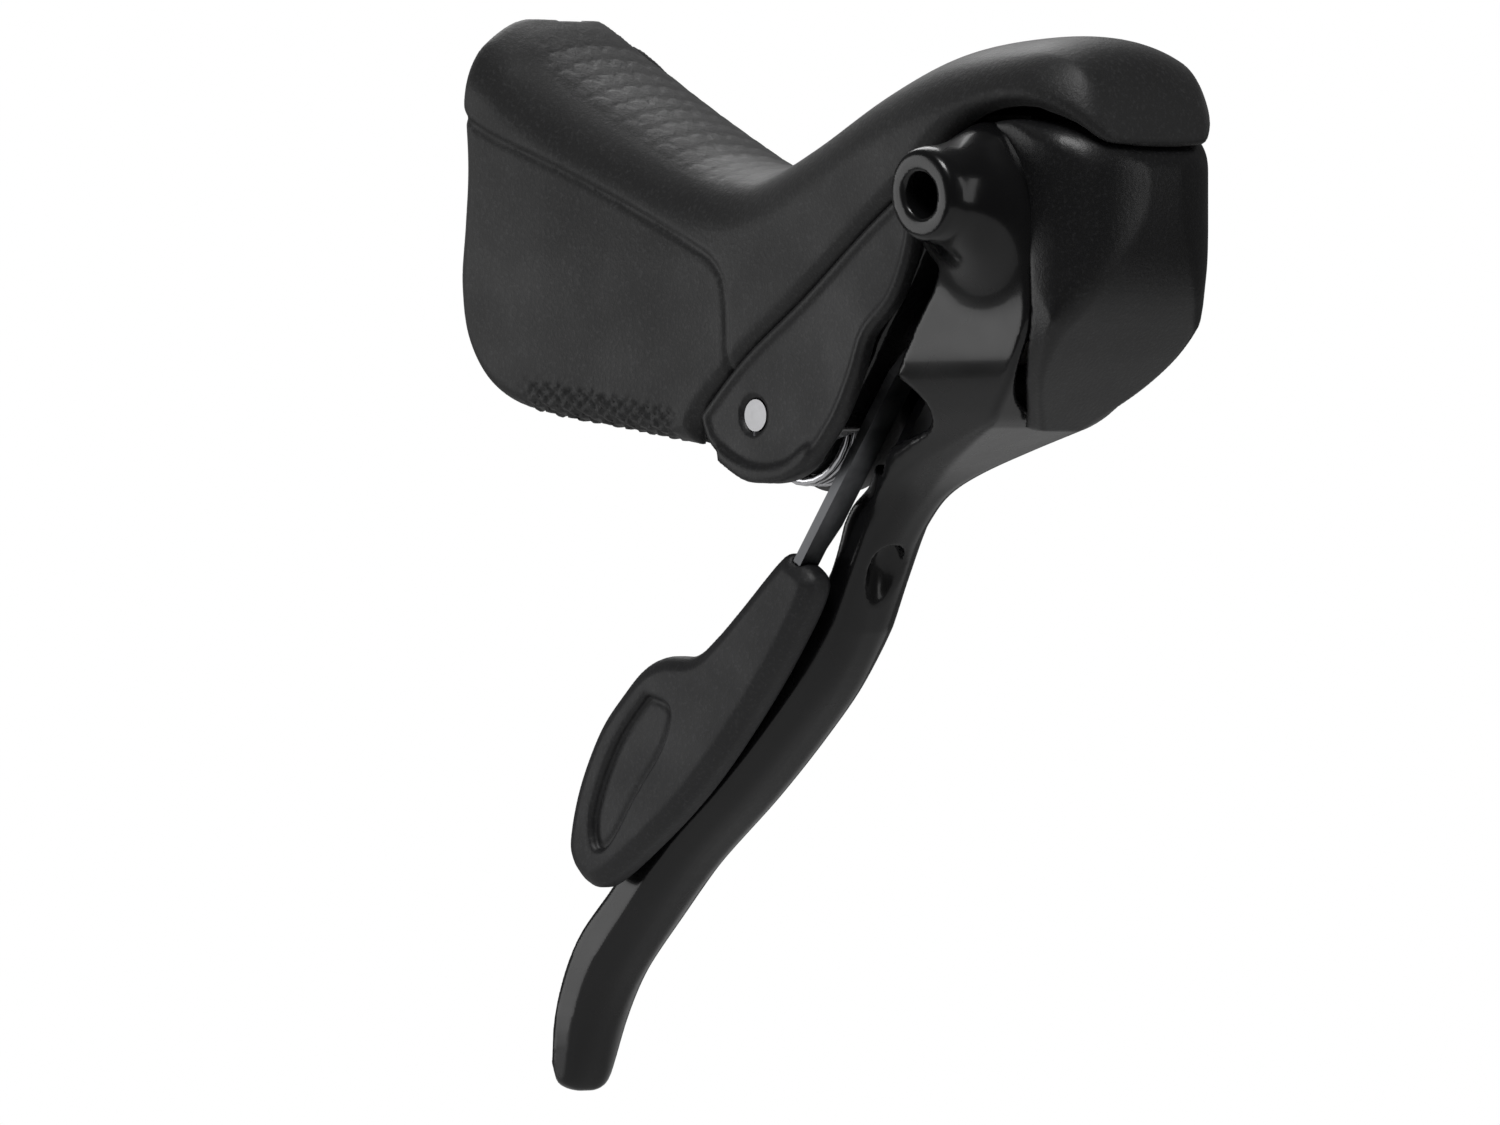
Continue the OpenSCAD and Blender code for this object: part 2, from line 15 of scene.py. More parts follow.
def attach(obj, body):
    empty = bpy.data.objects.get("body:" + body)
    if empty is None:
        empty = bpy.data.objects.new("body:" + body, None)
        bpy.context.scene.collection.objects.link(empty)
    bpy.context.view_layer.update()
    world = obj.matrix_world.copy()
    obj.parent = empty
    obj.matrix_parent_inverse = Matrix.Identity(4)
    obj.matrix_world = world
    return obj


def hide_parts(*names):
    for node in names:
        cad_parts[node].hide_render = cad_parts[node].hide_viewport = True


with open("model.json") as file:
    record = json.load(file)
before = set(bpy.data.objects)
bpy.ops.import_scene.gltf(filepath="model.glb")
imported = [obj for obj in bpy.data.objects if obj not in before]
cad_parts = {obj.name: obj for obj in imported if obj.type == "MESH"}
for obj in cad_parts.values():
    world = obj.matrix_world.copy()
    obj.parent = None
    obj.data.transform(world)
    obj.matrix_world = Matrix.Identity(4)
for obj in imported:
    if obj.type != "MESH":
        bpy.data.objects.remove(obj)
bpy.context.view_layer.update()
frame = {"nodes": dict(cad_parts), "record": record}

MM = 0.001
STEP = 0.42  # grid spacing of the distance fields

# The places that the CAD fixes, in millimetres, seen from the side as X and Z.
PIVOT = (57.0, -26.7)
MECH = (95.6, -8.0)
ANCHOR = (67.5, -8.5)
OUTLET = (101.1, 5.0)
HOUSING = (9.5, 18.4)
HOUSING_Y = 10.2
CAP_SCREWS = ((113, 1), (112, -13))

# Sizes that the CAD fixes, in millimetres.
BAR_R = 11.9
BAR_LEAN = math.radians(25)
BAND_Z = -3.0  # the clamp band's middle, along the bar
BAND_HALF = 5.5  # half its width, along the bar
BOLT_AHEAD = 22.5  # the clamp nut's middle, ahead of the bar
CHEEK_IN, CHEEK_OUT = 12.5, 15.5
PIN_R = 2.2
BUSHING_R = 3.6
ANCHOR_R = 3.6
AXLE_R = 2.55
CAVITY_R = 12.4
OUTLET_R = 3.1
CABLE_R = 1.2
SCREW_R = 1.15
SHIFT_ARM = (-9, -4.45)  # an arm's place across the lever, and along the mechanism's axis
RELEASE_ARM = (1, -6.15)
ARM_ROOM = (1.75, 0.8)  # half the slot that a paddle has for its arm, the same two ways

# ---------------------------------------------------------------- distance fields


def axes(low, high):
    """The three grid axes of a box, shaped so that they broadcast against each other."""
    x, y, z = (np.arange(a, b + STEP, STEP, dtype=np.float32) for a, b in zip(low, high))
    return x[:, None, None], y[None, :, None], z[None, None, :]


def curve(points, n=6):
    """A smooth curve through the points, with n steps between neighbours."""
    p = np.array(points, dtype=float)
    out = []
    for i in range(len(p) - 1):
        a, b, c, d = p[max(i - 1, 0)], p[i], p[i + 1], p[min(i + 2, len(p) - 1)]
        for k in range(n):
            t = k / n
            bend = (2 * a - 5 * b + 4 * c - d) * t**2
            twist = (3 * b - a - 3 * c + d) * t**3
            out.append(0.5 * (2 * b + (c - a) * t + bend + twist))
    out.append(p[-1])
    return [tuple(q) for q in out]


def to_line(u, v, points):
    """Distance from the plane points u, v to an open line through points."""
    best = np.float32(1e6)
    for (a, b), (c, d) in zip(points, points[1:]):
        length2 = (c - a) ** 2 + (d - b) ** 2
        if length2 < 1e-9:
            continue
        t = np.clip(((u - a) * (c - a) + (v - b) * (d - b)) / length2, 0, 1)
        best = np.minimum(best, (u - a - t * (c - a)) ** 2 + (v - b - t * (d - b)) ** 2)
    return np.sqrt(best)


def outline(u, v, points):
    """Signed distance to a closed outline, negative inside."""
    closed = list(points) + [points[0]]
    inside = np.zeros(np.broadcast(u, v).shape, dtype=bool)
    for (a, b), (c, d) in zip(closed, closed[1:]):
        if b == d:
            continue
        crosses = (v < b) != (v < d)
        inside ^= crosses & (u < (c - a) * (v - b) / (d - b) + a)
    distance = to_line(u, v, closed)
    return np.where(inside, -distance, distance)


def both(a, b, r=0.5):
    """Where a and b overlap, with the edge between them rounded to radius r."""
    ua, ub = np.maximum(a + r, 0), np.maximum(b + r, 0)
    return np.minimum(np.maximum(a, b), -r) + np.sqrt(ua * ua + ub * ub)


def join(a, b, k=0.5):
    """a and b together, with a fillet of about k between them."""
    h = np.maximum(k - np.abs(a - b), 0) / k
    return np.minimum(a, b) - h * h * k / 4


def cut(a, b, r=0.4):
    """a without b, with the rim rounded to radius r."""
    return both(a, -b, r)


def ramp(v, a, b):
    """0 before a and 1 after b, with a smooth rise between."""
    t = np.clip((v - a) / (b - a), 0, 1)
    return t * t * (3 - 2 * t)


def mesh_from(name, field, low):
    """A closed, smooth-shaded mesh object of the field's zero surface."""
    band = 3 * STEP
    grid = openvdb.FloatGrid(band)
    padded = np.full(tuple(n + 2 for n in field.shape), band, dtype=np.float32)
    padded[1:-1, 1:-1, 1:-1] = np.clip(field, -band, band)
    grid.copyFromArray(padded, tolerance=0.0)
    points, quads = grid.convertToQuads(isovalue=0.0)
    points = ((points - 1) * STEP + np.array(low)) * MM
    mesh = bpy.data.meshes.new(name)
    mesh.from_pydata(points.tolist(), [], quads.tolist())
    mesh.validate()
    mesh.polygons.foreach_set("use_smooth", np.ones(len(mesh.polygons), dtype=bool))
    obj = bpy.data.objects.new(name, mesh)
    bpy.context.scene.collection.objects.link(obj)
    return obj


def along_bar(x, z):
    """Coordinates ahead of the bar's axis and along it."""
    c, s = math.cos(BAR_LEAN), math.sin(BAR_LEAN)
    return x * c + z * s, z * c - x * s


def along_mech(x, z):
    """Coordinates down the shift arms and along the mechanism's axis."""
    u, w = x - MECH[0], z - MECH[1]
    return -0.6 * u - 0.8 * w, 0.8 * u - 0.6 * w


def at_outlet(x, y, z):
    """Distance from the cable outlet's axis, and position along it towards the inner side."""
    c, s = math.cos(math.radians(6)), math.sin(math.radians(6))
    along = -y * c - (z - OUTLET[1]) * s
    up = (z - OUTLET[1]) * c - y * s
    return np.sqrt((x - OUTLET[0]) ** 2 + up**2), along


def at_housing(x, y, z):
    """Distance from the brake housing's axis, and position along it towards the bar."""
    s = math.sqrt(0.5)
    u, w = x - HOUSING[0], z - HOUSING[1]
    off = u * s + w * s
    return np.sqrt(off**2 + (y - HOUSING_Y) ** 2), -u * s + w * s


def from_axis(x, z, place):
    """Distance from an axis that runs across the lever."""
    return np.sqrt((x - place[0]) ** 2 + (z - place[1]) ** 2)


def arm_slot(x, y, z, arm, middle, half):
    """A paddle's slot for its arm, from half before middle to half after it."""
    down, depth = along_mech(x, z)
    across = np.abs(y - arm[0]) - ARM_ROOM[0]
    section = both(across, np.abs(depth - arm[1]) - ARM_ROOM[1], 0.1)
    return both(section, np.abs(down - middle) - half, 0.1)


# ---------------------------------------------------------------- outlines, X and Z in millimetres

HOOD_TOP = [
    (-3.6, 22), (-3.0, 28.4), (-0.4, 31.2), (4, 29.4), (9, 26), (17, 21.4), (29, 15.2), (40, 10.2), (49, 8.6),
    (56, 9.4), (66, 13.4), (79, 19.6), (91, 23.8), (103, 25.2), (112, 24.8), (117.8, 22), (121.2, 16.5),
    (123, 8),
]
HOOD_UNDER = [
    (123, 6.8), (117, 11.8), (109, 14.2), (101, 13.2), (94, 9.2), (89, 4.6),
    (80, -1.6), (67, -11.1), (55, -19.1), (46, -26.8), (45, -31),
]
HOOD_BACK = [
    (45, -31), (28, -28.4), (12, -26), (3, -22.4), (-2.2, -16),
    (-3.8, -8), (-3.2, 0), (-2.6, 8), (-3.0, 15), (-3.6, 22),
]
HOOD_CREASE = [
    (-6, 18.4), (2, 13.5), (18.4, 7.5), (34.8, 0.6), (44, -3.3),
    (48.2, -5.4), (50.6, -8.4), (51.4, -12.6), (51.8, -24),
]

# Half widths of the hood along it.
HOOD_HALF = np.array(curve([
    (-4, 17), (12, 17), (30, 16), (48, 15.4), (70, 15.8), (92, 16.2), (108, 15.2), (118, 12.6), (125, 9),
])).T

CORE = (
    curve([(6, 22.5), (17, 17.4), (29, 11.4), (41, 6.2), (50, 5), (57, 6), (65, 9.4), (80, 16), (95, 20),
           (110, 21.6), (118, 19.4), (121, 15)])
    + curve([(121, 15), (105, 15), (96, 14.8), (84, 11), (72, 5), (61, -3), (52, -13), (43, -19), (42, -28)])
    + curve([(42, -28), (30, -25.4), (14, -22.4), (9, -20)])
)
# Half widths of the core along it.
CORE_HALF = np.array([
    (-2, 14.4), (12, 14.4), (30, 13.6), (48, 12.9), (70, 13.2),
    (92, 13.6), (108, 12.4), (118, 10.4), (122, 7),
]).T
CHEEK = (
    curve([(89, 4.6), (89, -3), (85.5, -11), (80, -16), (77.4, -21.6), (74, -27.4), (69.8, -32)])
    + curve([(69.8, -32), (66, -34.8), (60, -35.6), (53, -33.8), (48, -30.6), (46.2, -27)])
    + curve([(46.2, -26.4), (55, -18.7), (67, -10.7), (80, -1.2), (89, 4.6)])
)
LIP = curve([
    (50, -31), (56, -33.6), (63, -33.4), (68, -31), (68, -33), (63, -35.6), (56, -35.8), (50, -33),
])
WEB = [(38, -25), (47, -28), (56, -24), (70, -12), (88, 1), (88, 14), (72, 8), (60, 1), (40, -10)]
ROOM = [(112, 16), (96, 16), (84, 13), (72, 7), (60, -1), (41, -17), (41, -34), (80, -40), (112, 5)]

BLADE_REAR = curve([
    (2.4, -116.8), (4.2, -108.6), (9, -99.4), (17, -91.6), (27, -81), (35, -74.6), (45, -66.4), (53, -59),
    (58.6, -53.2), (62.2, -47), (64.4, -41.2),
])
LEVER = (
    curve([(82, 2), (87, 7), (94, 10.4), (102, 10.6), (105, 9.4)])
    + curve([(105, 9.4), (108.4, 2), (110.4, -6), (110.4, -14), (106.6, -21), (101, -26.6), (98, -28.6)])
    + curve([(98, -28.6), (90, -31.6), (82, -35), (76.4, -38.4), (71.6, -43.4), (67.2, -50), (64.4, -56.4)])
    + curve([(64.4, -56.4), (59.2, -64), (51.6, -71.4), (41.6, -80), (28.6, -90.2), (17.4, -101.4),
             (11.8, -108.6), (7.4, -118)])
    + curve([(7.4, -118), (5.8, -120.6), (3.4, -120), (2.4, -116.8)])
    + BLADE_REAR
    + curve([(64.4, -41.2), (68, -35.8), (73, -32), (80, -30), (86, -28.4), (87.6, -26), (85, -23),
             (79.6, -19.6), (78.4, -16), (82, -12.6), (86, -8.4), (84, -4), (82, 2)])
)
# Half widths of the lever up its height.
LEVER_HALF = np.array(curve([
    (-121, 3.9), (-110, 5.0), (-95, 5.6), (-75, 6.0), (-56, 5.7), (-42, 5.5), (-37, 5.9), (-31, 8.4),
    (-26, 11.2), (-20, 13.3), (-13, 14.0), (-6, 14.1),
])).T
BETWEEN_CHEEKS = [(60, 20), (103, 20), (100, 8), (95, 3), (91, -2), (87, -14), (77, -24), (60, -40)]
EAR = curve([
    (57, -20.3), (62, -10), (65, -4.6), (70, -3), (79, 0), (87, 1), (89, -6), (82, -20), (75, -27),
    (64, -30.6), (57, -33.1), (52.5, -31.2), (50.6, -26.7), (52.5, -22.2), (57, -20.3),
])
CAP_BACK = curve([
    (102.4, -29.2), (99.4, -28.6), (101.5, -26.9), (106.9, -21.2), (110.7, -14),
    (110.7, -6), (108.7, 2.1), (105.3, 9.6), (104, 12.4),
])
CAP = (
    curve([(104, 12.4), (110, 12.6), (117, 10.8), (121.2, 8.2), (122.8, 5),
           (122, -3), (119, -11), (113.6, -18), (108, -23.8), (102.4, -29.2)])
    + CAP_BACK
)
# Half widths of the cap: along it, and up its height.
CAP_PLAN = np.array(curve([(95, 14.2), (112, 14.2), (117.6, 12.4), (120.8, 9.4), (122.8, 5.5)])).T
CAP_SIDE = np.array(curve([
    (-31, 1.5), (-27, 6.0), (-23, 10.0), (-18, 12.8), (-12, 14.0), (-4, 14.2), (20, 14.2),
])).T
PADDLE = (
    curve([(60.6, -46.2), (58, -46), (49.2, -53.2), (44.4, -57), (40, -59.6), (34, -59.8), (29.4, -61.4),
           (25.2, -64.8), (20.2, -70), (15.8, -78), (13.8, -85.6), (14.8, -89)])
    + curve([(14.8, -89), (17.4, -91.2), (21, -91.6), (29, -87), (40, -79), (50, -69.4), (59, -59),
             (64.6, -50), (60.6, -46.2)])
)
PAD = curve([
    (31, -65.4), (35.4, -67.2), (33.6, -72.4), (28, -79), (23, -85.4),
    (20.2, -86), (20, -81), (24.6, -72), (31, -65.4),
])
RELEASE = curve([
    (52.6, -52.6), (44.6, -58.5), (36.6, -62.6), (29.6, -66.6), (26, -72.5), (25.6, -77),
    (30, -77), (38.6, -69.6), (48.6, -61), (54.6, -54.6), (52.6, -52.6),
])

# ---------------------------------------------------------------- moulded and cast pieces


def core_field(x, y, z):
    """The bracket's core, which stays well inside the hood."""
    half = np.interp(x, *CORE_HALF)
    d = both(outline(x, z, CORE), np.abs(y) - half, 1.2)
    return both(d, hood_field(x, y, z) + 1.7, 0.6)


def scales(u, v, size):
    """Rows of overlapping scales: 1 on each one's face, falling to 0 in the grooves between."""
    height = np.zeros(np.broadcast(u, v).shape, dtype=np.float32)
    row = np.floor(u / size)
    for k in (1, 0, -1):
        r = row + k
        across = v / size + 0.5 * (r % 2)
        du = u / size - r
        dv = across - np.round(across)
        reach = np.sqrt((du * 0.8) ** 2 + dv**2) / 0.62
        face = ramp(1 - reach, 0.0, 0.22) * (0.55 + 0.45 * np.clip(1 - du, 0, 1))
        height = np.maximum(height, np.where(reach < 1, face, 0))
    return height


def diamonds(u, v, size):
    """A knurl of raised diamonds."""
    a, b = (u + v * 1.4) / size, (u - v * 1.4) / size
    edge = np.minimum(np.abs(a - np.round(a)), np.abs(b - np.round(b)))
    return ramp(edge, 0.05, 0.26)


def hood_field(x, y, z):
    """The hood's outer surface without its relief: straight flanks under a domed top."""
    half = np.interp(x, *HOOD_HALF)
    waist = 0.9 * np.exp(-(((x - 40) / 26) ** 2)) * np.exp(-(((z - 2) / 6.5) ** 2))
    side = outline(x, z, curve(HOOD_TOP) + curve(HOOD_UNDER) + curve(HOOD_BACK))
    d = both(side, np.abs(y) - half + waist, 3.0)
    ridge_x, ridge_z = np.array(curve(HOOD_TOP)).T
    ridge = np.interp(x, ridge_x, ridge_z)
    slope = np.abs(np.gradient(ridge, axis=0)) / STEP
    dome = (z - ridge + 7.4 * (y / 16) ** 2) / np.sqrt(1 + slope**2)
    return both(d, dome, 4.0)


def build_hood():
    low = (-6, -18.6, -33)
    x, y, z = axes(low, (126, 18.6, 31))
    d = hood_field(x, y, z)
    middle = np.interp(x, [0, 40, 60, 90, 125], [4, -2, -2, 14, 14])
    upper = ramp(z - middle, -8, 10)

    # Relief: the crease with its lower panel, scales over the top and a knurl under the edge.
    crease = to_line(x, z, curve(HOOD_CREASE))
    panel = outline(x, z, curve(HOOD_CREASE) + [(52, -40), (-10, -40), (-10, 16)])
    flank = ramp(np.abs(y), 9, 12)
    d = d + flank * (0.22 * ramp(-panel, -0.1, 0.5) + 0.5 * np.exp(-((crease / 0.5) ** 2)))
    on_top = ramp(x, 3, 8) * ramp(54 - x, 0, 5) * ramp(11.5 - np.abs(y), 0, 1.5) * upper
    d = d - 0.5 * on_top * (scales(x, y, 3.4) - 0.6)
    below = to_line(x, z, curve(HOOD_BACK[:3]))
    on_edge = ramp(5.2 - below, 0, 1.2) * ramp(x, 8, 14) * ramp(42 - x, 0, 3)
    d = d - 0.5 * on_edge * (diamonds(x, z + np.abs(y) * 0.3, 2.7) - 0.7)

    # Room for the bracket, the lever's ears, the bar and the brake housing.
    d = cut(d, core_field(x, y, z) - 0.05, 0.3)
    room = both(outline(x, z, ROOM), np.abs(y) - 12.5, 0.4)
    d = cut(d, room, 0.5)
    web = both(outline(x, z, WEB), np.abs(y) - 13.45, 0.2)
    d = cut(d, web, 0.2)
    ahead, _ = along_bar(x, z)
    d = cut(d, np.sqrt(ahead**2 + y**2) - (BAR_R + 1.8), 0.8)
    off, past = at_housing(x, y, z)
    d = cut(d, both(off - 3.3, -past - 1, 0.2), 0.4)
    return mesh_from("hood_moulding", d, low)


def build_bracket():
    low = (4, -16.4, -37)
    x, y, z = axes(low, (123, 16.4, 25.5))
    d = core_field(x, y, z)
    turn = from_axis(x, z, PIVOT)
    cheek_y = np.abs(np.abs(y) - (CHEEK_IN + CHEEK_OUT) / 2) - (CHEEK_OUT - CHEEK_IN) / 2
    edge = outline(x, z, CHEEK)
    # A shallow step runs round the cheek, inside its edge.
    step = 0.35 * ramp(-edge, 1.0, 1.8)
    cheek = both(edge, cheek_y + step, 0.9)
    lip = both(outline(x, z, LIP), cheek_y - 0.25, 0.5)
    cheek = join(cheek, lip, 0.8)
    web = both(outline(x, z, WEB), np.abs(np.abs(y) - 12.95) - 0.45, 0.2)
    d = join(d, np.minimum(cheek, web), 0.4)
    # Seats of the bar, the clamp band, its nut and its bolt.
    ahead, up = along_bar(x, z)
    bar = np.sqrt(ahead**2 + y**2)
    d = cut(d, bar - (BAR_R + 0.05), 0.3)
    d = cut(d, both(bar - (BAR_R + 0.8), 7.5 - np.abs(up), 0.1), 0.2)
    low_up = up - BAND_Z
    d = cut(d, band_field(ahead, y, low_up, 0.25), 0.2)
    nut = both(np.abs(ahead - BOLT_AHEAD) - 1.7, np.abs(y) - 4.7, 0.1)
    d = cut(d, both(nut, np.abs(low_up) - (BAND_HALF + 0.1), 0.1), 0.2)
    bolt = np.sqrt(low_up**2 + y**2)
    d = cut(d, both(bolt - 2.8, -ahead, 0.1), 0.2)
    d = cut(d, both(bolt - 4.6, 25.9 - ahead, 0.1), 0.3)
    # Holes of the pivot pin, its set screw and the brake housing.
    d = cut(d, turn - PIN_R - 0.05, 0.2)
    d = cut(d, both(turn - (PIN_R + 0.5), 14.8 - np.abs(y), 0.1), 0.35)
    hole = np.sqrt((x - PIVOT[0] - 1) ** 2 * 0.16 + (y + 14) ** 2)
    d = cut(d, both(hole - 0.8, z + 31.5, 0.1), 0.3)
    off, past = at_housing(x, y, z)
    d = cut(d, both(off - 3.0, -past - 11, 0.1), 0.3)
    return mesh_from("bracket_casting", d, low)


def band_field(ahead, y, up, extra):
    """The clamp band's loop, grown by extra on every side."""

    def teardrop(r, front, half):
        u, v = (r - 0.3) * 0.5, (r - 0.3) * 0.866
        wedge = outline(ahead, y, [(0, v), (u, v), (front, half), (front, -half), (u, -v), (0, -v)])
        return np.minimum(np.sqrt(ahead**2 + y**2) - r, wedge)

    outer = teardrop(BAR_R + 1.25 + extra, 21 + extra, 4.6 + extra)
    inner = teardrop(BAR_R + 0.05 - extra, 19.8 - extra, 3.6 - extra)
    return np.maximum(np.maximum(outer, -inner), np.abs(up) - BAND_HALF - extra)


def build_lever():
    low = (1, -26.4, -122)
    x, y, z = axes(low, (114, 15.2, 13))
    # One outline, wide at the head and slim at the neck, with a crisp rear edge and a rounded front.
    half = np.interp(z, *LEVER_HALF)
    rear = to_line(x, z, BLADE_REAR)
    edge_r = 0.8 + 3.8 * ramp(rear, 2.0, 7.0) * ramp(-z, 27, 38)
    d = both(outline(x, z, LEVER), np.abs(y) - half, edge_r)
    d = cut(d, both(outline(x, z, BETWEEN_CHEEKS), 12.2 - np.abs(y), 0.1), 0.8)
    # Ears of the pivot.
    ear_y = np.abs(np.abs(y) - 9.6) - 2.6
    d = join(d, both(outline(x, z, EAR), ear_y, 0.8), 1.2)
    # Cable outlet: a boss that flares where it leaves the head.
    off, along = at_outlet(x, y, z)
    boss = both(off - 6.1, np.maximum(along - 25, 6 - along), 0.9)
    t = np.clip((along - 10) / 14, 0, 1)
    lean = np.sqrt((x - OUTLET[0] - 0.8 * (1 - t)) ** 2 + (z - 0.6 - 1.8 * t) ** 2)
    flare = both(lean - (9.8 - 3.7 * t**0.7), np.maximum(along - 24, 6 - along), 1.0)
    d = join(d, join(boss, flare * 0.9, 1.5), 8.0)
    # A shallow thumb hollow on the front edge of the blade.
    hollow = np.sqrt((x - 69.0) ** 2 + ((y + 1.0) / 1.2) ** 2 + ((z + 52) / 2.8) ** 2) - 3.0
    d = cut(d, hollow, 0.3)
    # Room for the mechanism, its arms, the pivot and the cables.
    down, depth = along_mech(x, z)
    radial = np.sqrt(down**2 + y**2)
    d = cut(d, both(radial - CAVITY_R, -7 - depth, 0.2), 0.5)
    d = cut(d, radial - AXLE_R, 0.2)
    d = cut(d, both(radial - 5.4, depth + 9, 0.1), 0.3)
    window = both(np.abs(down - 17.5) - 17.5, np.abs(y + 7) - 13, 0.3)
    window = both(window, np.abs(depth + 4.4) - 2.6, 0.3)
    groove = both(np.abs(down - 25) - 25, np.abs(y + 6.5) - 13.5, 0.3)
    groove = both(groove, np.abs(depth - RELEASE_ARM[1]) - 1.15, 0.3)
    d = cut(d, np.minimum(window, groove), 0.4)
    d = cut(d, both(off - OUTLET_R, 15 - along, 0.1), 0.55)
    d = cut(d, both(off - CABLE_R, -along, 0.1), 0.2)
    turn = from_axis(x, z, PIVOT)
    d = cut(d, turn - BUSHING_R, 0.2)
    d = cut(d, from_axis(x, z, ANCHOR) - ANCHOR_R, 0.3)
    return mesh_from("lever_casting", d, low)


def cap_field(x, y, z, inset):
    """The cap's outer surface, or its inner one where inset is the wall."""
    half = np.minimum(np.interp(x + inset, *CAP_PLAN), np.interp(z, *CAP_SIDE)) - inset
    edge_r = 0.4 + 2.6 * ramp(to_line(x + inset, z, CAP_BACK), 2.0, 7.0)
    return both(outline(x + inset, z, CAP), np.abs(y) - half, edge_r)


def build_cap():
    low = (97, -15.2, -31)
    x, y, z = axes(low, (124.5, 15.2, 14))
    d = cap_field(x, y, z, 0)
    d = cut(d, cap_field(x, y, z, 1.5), 0.3)
    down, depth = along_mech(x, z)
    d = cut(d, both(np.sqrt(down**2 + y**2) - 12.0, np.abs(depth - 4) - 11, 0.2), 0.4)
    for place in CAP_SCREWS:
        d = cut(d, both(from_axis(x, z, place) - SCREW_R, 8 - y, 0.1), 0.3)
    return mesh_from("front_cover", d, low)


def build_paddle():
    low = (11.5, -13, -94)
    x, y, z = axes(low, (65, -5.6, -44))
    side = outline(x, z, PADDLE)
    d = both(side, np.abs(y + 9.1) - 1.8 - 0.9 * ramp(-side, 0, 2.4), 1.0)
    pad = outline(x, z, PAD)
    d = cut(d, both(pad, y + 10.9, 0.3), 0.35)
    d = d + 0.4 * np.exp(-((pad / 0.5) ** 2)) * ramp(-y, 9.5, 10.5)
    d = cut(d, arm_slot(x, y, z, SHIFT_ARM, 54.1, 14), 0.2)
    return mesh_from("shift_paddle_moulding", d, low)


def build_release():
    low = (24, -2.4, -79)
    x, y, z = axes(low, (57, 4.4, -50))
    d = both(outline(x, z, RELEASE), np.abs(y - 1.0) - 2.0, 0.9)
    d = cut(d, arm_slot(x, y, z, RELEASE_ARM, 53, 13.1), 0.2)
    return mesh_from("release_paddle_moulding", d, low)


# ---------------------------------------------------------------- wound springs


def tube_along(name, path, radius, sides=12):
    """A round wire with closed ends that follows the path."""
    path = [Vector(p) for p in path]
    points, faces = [], []
    up = Vector((0.123, 0.456, 0.88)).normalized()
    for i, p in enumerate(path):
        ahead = (path[min(i + 1, len(path) - 1)] - path[max(i - 1, 0)]).normalized()
        side = ahead.cross(up).normalized()
        up = side.cross(ahead).normalized()
        for k in range(sides):
            a = 2 * math.pi * k / sides
            points.append(p + radius * (math.cos(a) * side + math.sin(a) * up))
    for i in range(len(path) - 1):
        for k in range(sides):
            m = (k + 1) % sides
            faces.append((i * sides + k, i * sides + m, (i + 1) * sides + m, (i + 1) * sides + k))
    last = (len(path) - 1) * sides
    faces.append(tuple(range(sides)))
    faces.append(tuple(last + k for k in reversed(range(sides))))
    mesh = bpy.data.meshes.new(name)
    mesh.from_pydata([p * MM for p in points], [], faces)
    mesh.polygons.foreach_set("use_smooth", np.ones(len(mesh.polygons), dtype=bool))
    obj = bpy.data.objects.new(name, mesh)
    bpy.context.scene.collection.objects.link(obj)
    return obj


def spring(name, place, radius, wire, length, turns, legs):
    """A wound spring along the local z of place, with a straight leg at each end."""
    n = int(turns * 28)
    last = 2 * math.pi * turns

    def ring(a, h):
        return Vector((radius * math.cos(a), radius * math.sin(a), h))

    path = [ring(0, 0) + Vector((0, -legs, 0))]
    for i in range(n + 1):
        t = i / n
        path.append(ring(last * t, length * t))
    tangent = Vector((-math.sin(last), math.cos(last), 0))
    path.append(ring(last, length) + tangent * legs)
    return tube_along(name, [place @ p for p in path], wire / 2)


# Frames whose z runs along the mechanism's axis and along the pivot's.
MECH_PLACE = Matrix.Translation((MECH[0], 0, MECH[1])) @ Matrix.Rotation(math.radians(126.87), 4, "Y")
PIVOT_PLACE = Matrix.Translation((PIVOT[0], 0, PIVOT[1])) @ Matrix.Rotation(math.radians(-90), 4, "X")

# ---------------------------------------------------------------- materials


def new_material(name):
    material = bpy.data.materials.new(name)
    material.use_nodes = True
    nodes, links = material.node_tree.nodes, material.node_tree.links
    return material, nodes, links, nodes["Principled BSDF"]


def noise(nodes, links, scale, detail=4.0, rough=0.6):
    place = nodes.new("ShaderNodeTexCoord")
    node = nodes.new("ShaderNodeTexNoise")
    node.inputs["Scale"].default_value = scale
    node.inputs["Detail"].default_value = detail
    node.inputs["Roughness"].default_value = rough
    links.new(place.outputs["Object"], node.inputs["Vector"])
    return node.outputs["Fac"]


def spread(nodes, links, value, low, high, start=0.3, stop=0.7):
    """Maps a noise value onto low to high."""
    node = nodes.new("ShaderNodeMapRange")
    node.inputs["From Min"].default_value = start
    node.inputs["From Max"].default_value = stop
    node.inputs["To Min"].default_value = low
    node.inputs["To Max"].default_value = high
    links.new(value, node.inputs["Value"])
    return node.outputs["Result"]


def tint(nodes, links, value, dark, light, start=0.35, stop=0.65):
    """A colour between dark and light, driven by a noise value."""
    node = nodes.new("ShaderNodeValToRGB")
    node.color_ramp.elements[0].position = start
    node.color_ramp.elements[1].position = stop
    node.color_ramp.elements[0].color = (*dark, 1)
    node.color_ramp.elements[1].color = (*light, 1)
    links.new(value, node.inputs["Fac"])
    return node.outputs["Color"]


def relief(nodes, links, value, strength, distance):
    """A bump of the given depth in metres, driven by a noise value."""
    node = nodes.new("ShaderNodeBump")
    node.inputs["Strength"].default_value = strength
    node.inputs["Distance"].default_value = distance
    links.new(value, node.inputs["Height"])
    return node.outputs["Normal"]


